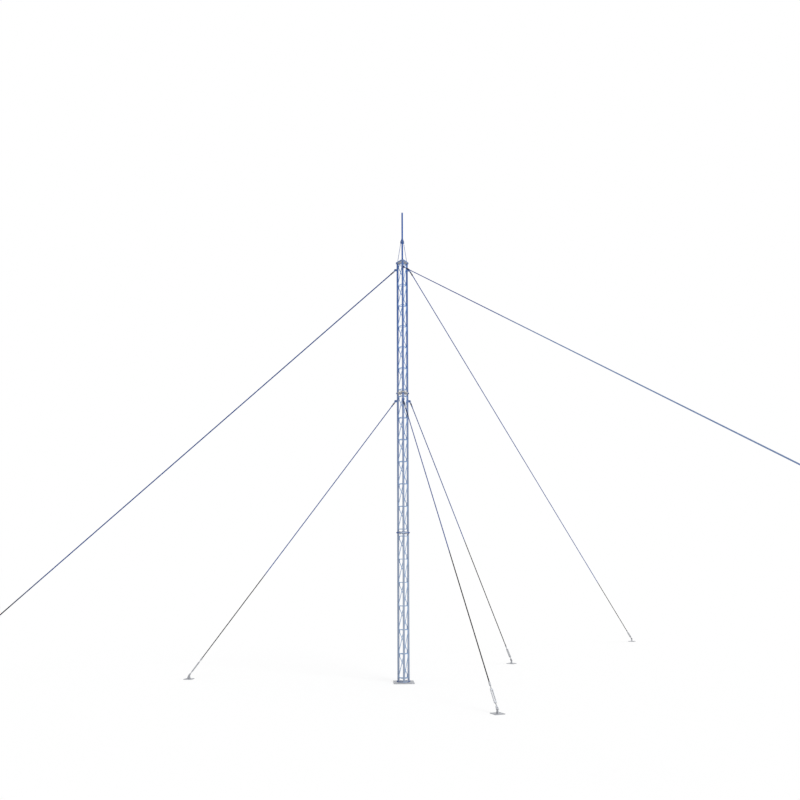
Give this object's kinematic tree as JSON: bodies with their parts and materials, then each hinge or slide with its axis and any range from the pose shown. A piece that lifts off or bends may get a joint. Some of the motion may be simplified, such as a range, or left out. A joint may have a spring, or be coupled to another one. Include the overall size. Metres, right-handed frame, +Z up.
{
  "type": "guyed lattice radio mast",
  "caption": "Slender triangular lattice mast of flanged sections with a plain top pole, held upright by taut guys at separate levels that run down to ground anchors.",
  "frame": {"origin": "middle of the base plate's underside, on the mast's axis at ground level", "axes": "+Z up the mast; -Y towards the front leg; +X to the right seen from the front"},
  "size_m": [18.0644, 24.4684, 10.19],
  "materials": {
    "leg_paint": "weathered blue paint, greyer towards the foot",
    "bracing_paint": "weathered light blue paint",
    "flange_steel": "dull grey primer on thick plate",
    "pole_paint": "blue paint",
    "collar_paint": "blue paint, a little faded",
    "lug_paint": "blue paint",
    "guy_sheath": "grey sheathed wire rope",
    "fitting_black": "black coated steel",
    "dark_polymer": "dark blue-grey moulded plastic",
    "galvanised_steel": "dull galvanised"
  },
  "bodies": {
    "root": {"base_plate": "galvanised_steel", "lower_anchor_ears": "galvanised_steel", "lower_anchor_plates": "galvanised_steel", "lower_front_guy": "guy_sheath", "lower_front_guy_insulator": "dark_polymer", "lower_front_guy_sleeve": "dark_polymer", "lower_guy_lugs": "lug_paint", "lower_guy_shackles": "lug_paint", "lower_guy_thimbles": "fitting_black", "lower_guy_turnbuckles": "galvanised_steel", "lower_left_guy": "guy_sheath", "lower_right_guy": "guy_sheath", "lower_section_foot_flange": "flange_steel", "lower_section_front_leg": "leg_paint", "lower_section_head_flange": "flange_steel", "lower_section_left_bracing": "bracing_paint", "lower_section_left_leg": "leg_paint", "lower_section_rear_bracing": "bracing_paint", "lower_section_right_bracing": "bracing_paint", "lower_section_right_leg": "leg_paint", "middle_section_foot_flange": "flange_steel", "middle_section_front_leg": "leg_paint", "middle_section_head_flange": "flange_steel", "middle_section_left_bracing": "bracing_paint", "middle_section_left_leg": "leg_paint", "middle_section_rear_bracing": "bracing_paint", "middle_section_right_bracing": "bracing_paint", "middle_section_right_leg": "leg_paint", "pole_collar": "collar_paint", "pole_socket": "pole_paint", "pole_stays": "pole_paint", "top_pole": "pole_paint", "upper_anchor_ears": "galvanised_steel", "upper_anchor_plates": "galvanised_steel", "upper_front_guy": "guy_sheath", "upper_front_guy_sleeve": "fitting_black", "upper_guy_lugs": "lug_paint", "upper_guy_shackles": "lug_paint", "upper_guy_thimbles": "fitting_black", "upper_guy_turnbuckles": "galvanised_steel", "upper_left_guy": "guy_sheath", "upper_right_guy": "guy_sheath", "upper_section_foot_flange": "flange_steel", "upper_section_front_leg": "leg_paint", "upper_section_head_flange": "flange_steel", "upper_section_left_bracing": "bracing_paint", "upper_section_left_leg": "leg_paint", "upper_section_rear_bracing": "bracing_paint", "upper_section_right_bracing": "bracing_paint", "upper_section_right_leg": "leg_paint"}
  },
  "joints": []
}
